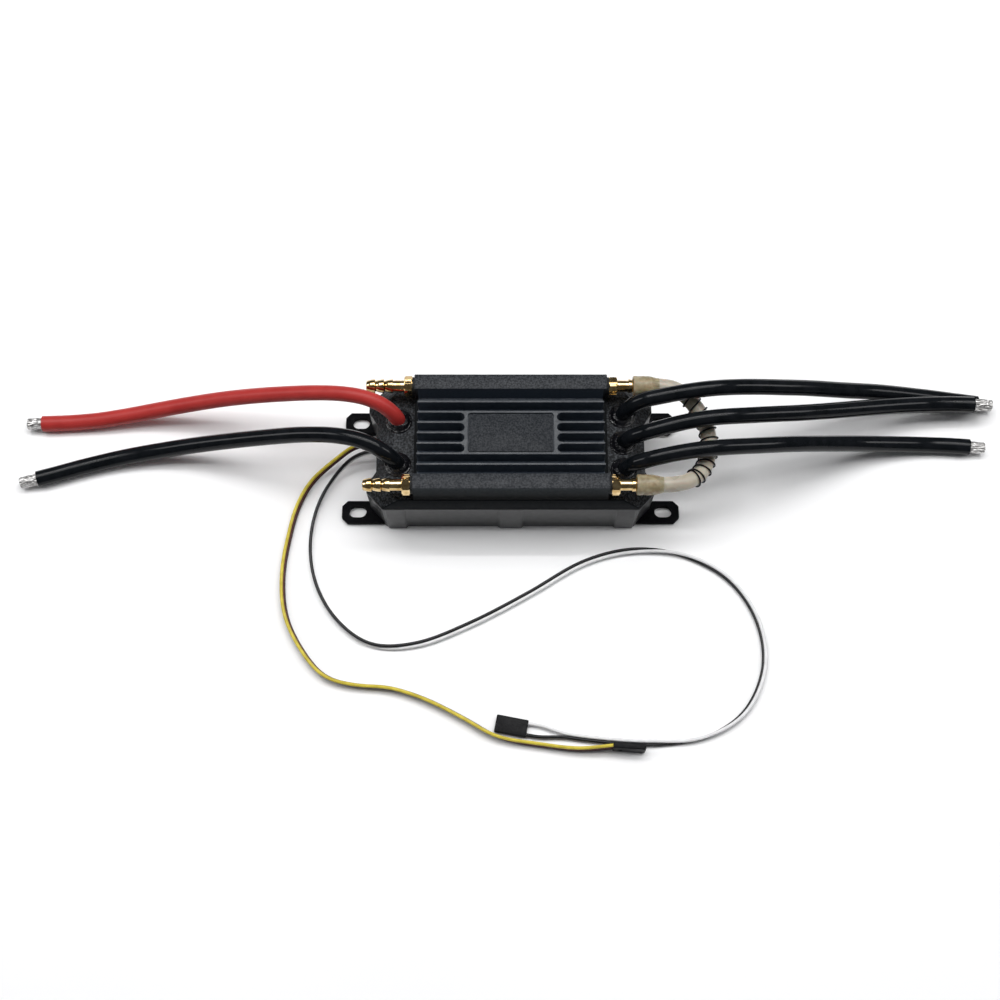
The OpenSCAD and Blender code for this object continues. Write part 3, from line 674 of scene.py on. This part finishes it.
# the tube's ends, stretched over the barbs: distance from the nozzle's tip, and radius
outer = [(-9.9, 4.1), (-9.8, 4.4), (-9.4, 4.56), (-8.4, 4.6), (-7.4, 4.46), (-6.2, 4.52),
         (-5.2, 4.62), (-4.2, 4.48), (-3.2, 4.52), (-2.2, 4.38), (-1.3, 4.18), (-0.4, 3.95),
         (0.5, 3.75), (1.3, 3.6), (1.75, 3.54)]
inner = [(1.7, 3.5), (0, 3.5), (-1, 3.15), (-9.7, 3.15), (-9.9, 3.4)]
collars = [turned("collar", outer + inner, (TIP_X, side * CHANNEL_Y, CHANNEL_Z), (1, 0, 0),
                  [M["collar"]]) for side in (-1, 1)]
collar = keep(join("tube_collar_sleeves", collars), "silicone_collar", "tube_collars")


def coils(path, first, last, radius, step=0.22, first_pitch=4.6, last_pitch=4.1):
    """A helix round a path, between two distances along it. Its pitch changes evenly, and it
    ends in one and a half closed turns."""
    spread, frames = along(path), frames_of(path)
    samples, angle, s = [], 0.0, first
    while s < last:
        samples.append((s, angle))
        pitch = first_pitch - (first_pitch - last_pitch) * (s - first) / (last - first)
        angle += 2 * math.pi * step / pitch
        s += step
    samples += [(last, angle + 0.1 * i) for i in range(1, 100)]
    points = []
    for s, angle in samples:
        i = max(j for j in range(len(spread)) if spread[j] <= s + 1e-6)
        t = (s - spread[i]) / (spread[i + 1] - spread[i])
        p = path[i].lerp(path[i + 1], t)
        side = frames[i][0].lerp(frames[i + 1][0], t)
        lift = frames[i][1].lerp(frames[i + 1][1], t)
        points.append(p + side * (radius * math.cos(angle)) + lift * (radius * math.sin(angle)))
    return points


# a black wire helix round the middle of the tube
helix = coils(tube_path, 14.0, along(tube_path)[-1] - 16.5, TUBE_D / 2 + 0.5)
spring = keep(loft("tube_spring_helix", tube_rings(helix, frames_of(helix), 0.38, 8),
                   [M["spring"]]), "spring_steel", "tube_spring", angle=80)

# ---------- case ----------


def case_ring(z, inset_x, inset_y, out=None):
    """The case outline at one level. out is how far the raised wall panels stand proud."""
    x, y = HALF_LEN - inset_x, HALF_DEPTH - inset_y
    quarter = [(BAY_X - inset_x, BAY_Y), (x, BAY_RUN_Y), (x, y - BEVEL_Y), (x - BEVEL_X, y)]
    if out is not None:
        # the panel near the corner, then half of the middle one
        quarter += [(56.4, y), (55.6, y + out), (47.9, y + out), (46.9, y), (5.9, y),
                    (4.9, y + out)]
    half = quarter + [(-px, py) for px, py in reversed(quarter)]
    return [(px, py, z) for px, py in half] + [(-px, -py, z) for px, py in half]


def rods(name, d, low, high, places):
    """Upright cylinders at those places, to cut holes or leave pillars with."""
    return [plate_of(name, arc(x, y, d / 2, 0, 345, 23), low, high, [M["case_lower"]])
            for x, y in places]


def repaint(made, mat, chosen):
    """Gives one more material to the faces that chosen(centre in mm, normal) picks."""
    made.data.materials.append(mat)
    for face in made.data.polygons:
        if chosen(face.center / MM, face.normal):
            face.material_index = len(made.data.materials) - 1


def ear(sx, sy):
    """One mounting ear with its slot. It runs on into the case."""
    outline = [(57, -5.4), (74.9, -5.4), (77.5, -2.8), (77.5, 2.8), (74.9, 5.4), (57, 5.4)]
    blank = plate_of("ear", [(sx * x, sy * EAR_Y + y) for x, y in outline], 0, EAR_T,
                     [M["ear"]])
    slot = round_slot(sx * EAR_SLOT_X, sy * EAR_Y, SLOT_LEN, SLOT_W)
    return boolean(bevel(blank, 0.3, 2), [plate_of("slot", slot, -1, EAR_T + 1.5, [M["ear"]])])


low_top = SEAM_Z - GASKET / 2
rings = [case_ring(0, 0.6, 1.0, 1.0), case_ring(low_top - 1.2, 0.03, 0.05, 0.25),
         case_ring(low_top, 0, 0, 0.0)]
lower = bevel(loft("lower_case_shell", rings, [M["case_lower"]]), 0.45, 3, 20)
lower = boolean(lower, [ear(sx, sy) for sx in (-1, 1) for sy in (-1, 1)], "UNION")
pocket = box_of("pocket", (-CAVITY[0], -CAVITY[1], WALL), (CAVITY[0], CAVITY[1], 30),
                [M["case_lower"]])
pocket = boolean(pocket, rods("pillar", PILLAR_D, 0, 31, CASE_SCREWS))
lower = boolean(lower, [pocket] + rods("hole", SCREW_HOLE_D, -1, 30, CASE_SCREWS)
                + rods("head", SCREW_HEAD_D, -1, 2.2, CASE_SCREWS))
gland_hole = loft("gland_hole", [[(x, 6.6 + y, 10 + z) for y, z in round_slot(0, 0, 9.4, 6.4)]
                                 for x in (-65, -55)], [M["case_lower"]])
lower = boolean(lower, [gland_hole])
repaint(lower, M["ear"], lambda at, normal: abs(at.x) > 63.5 and at.z < EAR_T + 0.1)
keep(lower, "case_lower", "lower_case", angle=25)

upper = loft("upper_case_shell",
             [case_ring(SEAM_Z + GASKET / 2, 0, 0),
              case_ring(DECK_Z, HALF_LEN - DECK_HALF_LEN, HALF_DEPTH - DECK_HALF_DEPTH)],
             [M["case_upper"]])
upper = bevel(upper, 0.4, 3, 12)
room = box_of("room", (-54, -CAVITY[1], 20), (54, CAVITY[1], DECK_Z - WALL),
              [M["case_upper"]])
room = boolean(room, rods("pillar", PILLAR_D, 19, 30, CASE_SCREWS))
window = box_of("window", (-35, -19, 20), (35, 19, 31), [M["case_upper"]])
upper = boolean(upper, [room, window] + rods("exit", 10, 20, 31, SEALS)
                + rods("core", SCREW_CORE_D, 20, 28, CASE_SCREWS)
                + rods("hole", SCREW_HOLE_D, 20, 31, SINK_SCREWS))


def grained(at, normal):
    """The flat top and the slopes at the two ends have the coarse grain."""
    end = abs(normal.x) > max(0.3, abs(normal.y)) and at.z > SEAM_Z + 1
    return end or normal.z > 0.98 and at.z > DECK_Z - 0.1


repaint(upper, M["deck_grain"], grained)
keep(upper, "case_upper", "upper_case", angle=25)

# ---------- heat sink ----------

# half the sink's depth and length, half the trough's depth, and the fins' outer ends
HALF_SINK, SINK_END = SINK_DEPTH / 2, SINK_LEN / 2
TROUGH_Y, FIN_END = HALF_SINK - BAR_W, SINK_END - 1.5
section = [(-HALF_SINK, DECK_Z), (HALF_SINK, DECK_Z), (HALF_SINK, TOP_Z), (TROUGH_Y, TOP_Z),
           (TROUGH_Y, FIN_FLOOR_Z), (-TROUGH_Y, FIN_FLOOR_Z), (-TROUGH_Y, TOP_Z),
           (-HALF_SINK, TOP_Z)]
trough = loft("heat_sink_body", [[(x, y, z) for y, z in section]
                                 for x in (-SINK_END, -FIN_END, FIN_END, SINK_END)],
              [M["anodised"]])
trough = bevel(trough, 0.35, 2)
pedestal = bevel(box_of("pedestal", (-33, -17, 23.9), (33, 17, DECK_Z + 1), [M["anodised"]]),
                 0.3, 1)
trough = boolean(trough, [pedestal], "UNION")
bores = [loft("bore", [[(x, y, z) for y, z in arc(side * CHANNEL_Y, CHANNEL_Z, CHANNEL_R,
                                                  0, 345, 23)]
                       for x in (-SINK_END - 2, SINK_END + 2)], [M["anodised"]])
         for side in (-1, 1)]
trough = boolean(trough, bores + rods("core", SCREW_CORE_D, 28, 34.5, SINK_SCREWS))


def fin_end(y, sign, r=0.4):
    """The rounded end of a fin at +X (sign 1) or -X (sign -1), clockwise seen from above."""
    x, reach, turned_by = sign * (FIN_END - r), sign * (FIN_T / 2 - r), 90 - 90 * sign
    return (arc(x, y + reach, r, 90 + turned_by, turned_by, 4)
            + arc(x, y - reach, r, turned_by, turned_by - 90, 4))


def fin_block(name, outline):
    """Fins of that outline, up from inside the sink's base."""
    return bevel(plate_of(name, outline, FIN_FLOOR_Z - 1, FIN_TOP_Z, [M["anodised_gap_painted_light"]]),
                 0.14, 1, 60)


# the five middle fins are one comb, joined round the plate, with round ends to their gaps
gap_r = (FIN_PITCH - FIN_T) / 2
gap_x = 20.5 + gap_r
outline = []
for i in range(2, -3, -1):
    outline += fin_end(i * FIN_PITCH, 1)
    if i > -2:
        outline += arc(gap_x, (i - 0.5) * FIN_PITCH, gap_r, 90, 270, 12)
for i in range(-2, 3):
    outline += fin_end(i * FIN_PITCH, -1)
    if i < 2:
        outline += arc(-gap_x, (i + 0.5) * FIN_PITCH, gap_r, -90, 90, 12)
recess = plate_of("pocket", round_rect(19.1, 9.6, 1.5), PLATE_FLOOR_Z, 45,
                  [M["anodised_gap_painted_light"]])
fins = [boolean(fin_block("fins", outline), [recess])]
fins += [fin_block("fin", fin_end(i * FIN_PITCH, 1) + fin_end(i * FIN_PITCH, -1))
         for i in (-3, 3)]
sink = boolean(trough, fins, "UNION")
# one anodised finish in four copies: the bars as they are, painted light in the trough, a
# painted highlight on the fin tops, painted shade on the sides and ends
sink.data.materials.clear()
for finish in ("anodised", "anodised_gap_painted_light", "fin_top_painted_highlight", "sink_side_painted_shade"):
    sink.data.materials.append(M[finish])
BARS, TROUGH, FIN_TOPS, SIDES = range(4)
for face in sink.data.polygons:
    x, y, z = (c / MM for c in face.center)
    inside = abs(y) < TROUGH_Y + 0.01 and z < TOP_Z - 0.3
    top = inside and z > FIN_TOP_Z - 0.16 and face.normal.z > 0.3
    side = (abs(face.normal.y) > 0.9 and abs(y) > HALF_SINK - 0.1
            or abs(face.normal.x) > 0.5 and abs(x) > SINK_END - 0.5
            or inside and abs(x) > FIN_END + 0.1)
    face.material_index = FIN_TOPS if top else SIDES if side else TROUGH if inside else BARS
keep(sink, "anodised_black", "heat_sink", angle=25)

name_plate = bevel(plate_of("blank_plate", round_rect(18.7, 9.2, 1.1), PLATE_FLOOR_Z,
                            FIN_TOP_Z - 0.2, [M["plate"]]), 0.15, 2)
keep(name_plate, "plate_black", "nameplate", angle=25)

# ---------- nozzles ----------


BORE_R, NUT_FLAT, NUT_END, WASHER_T = 1.5, 4.0, 4.5, 0.95
BARBS, BARB_PITCH, NOZZLE_END = 3, 4, TIP_X - SINK_END


def nozzle(name, end, side, twist):
    """A barbed nozzle with its hexagon at one end (-1 or 1) and side (-1 or 1) of the sink. All
    distances are from the sink's end face, and twist turns the hexagon, in radians."""
    start = (end * SINK_END, side * CHANNEL_Y, CHANNEL_Z)
    axis = (end, 0, 0)

    def hexagon(distance, radius, a):
        folded = (a + twist) % (math.pi / 3) - math.pi / 6
        return min(NUT_FLAT / math.cos(folded), radius)

    outline = [(WASHER_T, BORE_R), (WASHER_T, 4.05), (1.3, 4.72), (4.1, 4.72), (NUT_END, 4.05),
               (NUT_END, BORE_R)]
    nut = turned(name + "_hex", outline, start, axis, [M["brass"]], 96, hexagon)
    outline = [(-5, BORE_R), (-5, 2.5), (4.4, 2.5), (4.4, 3.0), (4.7, 2.62), (9.2, 2.55),
               (9.6, 2.6)]
    for i in range(BARBS):
        x = 9.7 + BARB_PITCH * i
        outline += [(x, 3.02), (x + 0.12, 3.1), (x + 0.6, 3.08), (x + 2.0, 2.86),
                    (x + 3.5, 2.48), (x + 3.9, 2.2)]
    outline[-1] = (NOZZLE_END - 0.1, 2.2)
    outline += [(NOZZLE_END, 1.9), (NOZZLE_END - 0.15, 1.55), (NOZZLE_END - 0.7, BORE_R)]
    stem = turned(name + "_stem", outline, start, axis, [M["brass"]], 48)
    label = ("back" if side > 0 else "front") + ("_left" if end < 0 else "_right")
    keep(join(name, [nut, stem]), "nozzle_brass", "nozzle_" + label, angle=28)


nozzle("barbed_nozzle_1", -1, 1, 0.35)
nozzle("barbed_nozzle_2", -1, -1, 0.384)
nozzle("barbed_nozzle_3", 1, 1, 0.07)
nozzle("barbed_nozzle_4", 1, -1, 0.663)
outline = [(0, 2.5), (0, 3.9), (0.15, 4.0), (0.8, 4.0), (WASHER_T, 3.9), (WASHER_T, 2.5)]
washers = [turned("washer", outline, (end * SINK_END, side * CHANNEL_Y, CHANNEL_Z),
                  (end, 0, 0), [M["washer"]]) for end in (-1, 1) for side in (-1, 1)]
keep(join("nozzle_sealing_rings", washers), "washer_rubber", "nozzle_washers")

# ---------- sealant rings round the wires ----------


def seal(x, y, seed):
    """A ring of sealant that swelled out of its hole unevenly, smooth against the wire."""
    def lumpy(distance, radius, a):
        if radius < 3.6 or distance < 0.05:
            return radius
        wave = noise.noise(Vector((math.cos(a) * 1.1, math.sin(a) * 1.1, seed * 5.0)))
        lump = noise.noise(Vector((math.cos(a) * 3.2, math.sin(a) * 3.2, distance + seed * 3.0)))
        return radius + 0.28 * wave + 0.16 * lump

    profile = [(-2.4, 3.0), (2.4, 3.0), (2.2, 3.35), (1.95, 3.8), (1.6, 4.25), (1.1, 4.6),
               (0.7, 4.85), (0.5, 5.15), (0.42, 5.5), (0.2, 5.85), (0.0, 6.0),
               (-0.02, 5.0), (-2.4, 5.0)]
    return turned("seal", profile, (x, y, DECK_Z), (0, 0, 1), [M["potting"]], 56, lumpy)


seals = [seal(x, y, index) for index, (x, y) in enumerate(SEALS)]
keep(join("sealant_rings", seals), "potting", "wire_seals", angle=50)

# ---------- CAD nodes that are kept as they are, with their finishes ----------

finishes = {
    "case_gasket": "gasket", "case_screws": "screw_steel", "heat_sink_gasket": "gasket",
    "heat_sink_screws": "screw_steel", "signal_gland": "gasket", "power_board": "board_green",
    "mosfets": "chip", "thermal_pad": "pad", "terminal_posts": "copper",
    "capacitors": "sleeve", "control_board": "board_blue", "control_chips": "chip",
    "board_header": "chip", "board_spacers": "brass", "board_screws": "screw_steel",
}
for name, finish in finishes.items():
    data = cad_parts[name].data
    data.materials.clear()
    data.materials.append(M[finish])

# ---------- floor, lights and camera ----------

# the floor lies a hair below the object's underside
bpy.ops.mesh.primitive_plane_add(size=6, location=(0, 0, -0.0003))
floor = bpy.context.object
floor.name = "floor"
floor.data.materials.append(material("floor_white", (0.935, 0.935, 0.94), (0.95, 0.95, 0.955),
                                     0.9, 200, Specular_IOR_Level=0.1))

world = bpy.data.worlds.new("studio")
bpy.context.scene.world = world
world.use_nodes = True
sky = world.node_tree.nodes["Background"]
sky.inputs["Color"].default_value = (0.95, 0.97, 1, 1)
sky.inputs["Strength"].default_value = 0.10


def lamp(name, place, size, power):
    """A rectangular light that points at the origin. Place and size are in metres."""
    data = bpy.data.lights.new(name, "AREA")
    data.shape = "RECTANGLE"
    data.size, data.size_y = size
    data.energy = power
    made = bpy.data.objects.new(name, data)
    bpy.context.scene.collection.objects.link(made)
    made.location = place
    made.rotation_euler = (Vector((0, 0, 0)) - Vector(place)).to_track_quat("-Z", "Y").to_euler()


lamp("strip_front", (0, -0.20, 1.3), (1.6, 0.03), 0.5)
lamp("strip_middle", (0, 0.02, 1.3), (1.6, 0.03), 1.0)
lamp("strip_back", (0, 0.40, 1.25), (1.6, 0.04), 4.5)
lamp("top_softbox", (0, 0.36, 1.35), (1.6, 0.9), 15.5)
lamp("left_softbox", (-1.1, 0.1, 0.9), (0.4, 0.6), 3.6)
lamp("right_softbox", (1.1, 0.1, 0.9), (0.4, 0.6), 3.6)

camera_data = bpy.data.cameras.new("camera")
camera_data.lens = 50.33
camera_data.sensor_width = 36
camera = bpy.data.objects.new("camera", camera_data)
bpy.context.scene.collection.objects.link(camera)
camera.location = (-0.0047875, -0.258365, 0.600871)
camera.rotation_euler = (math.radians(22), 0, 0)
bpy.context.scene.camera = camera
bpy.context.scene.view_settings.view_transform = "Standard"
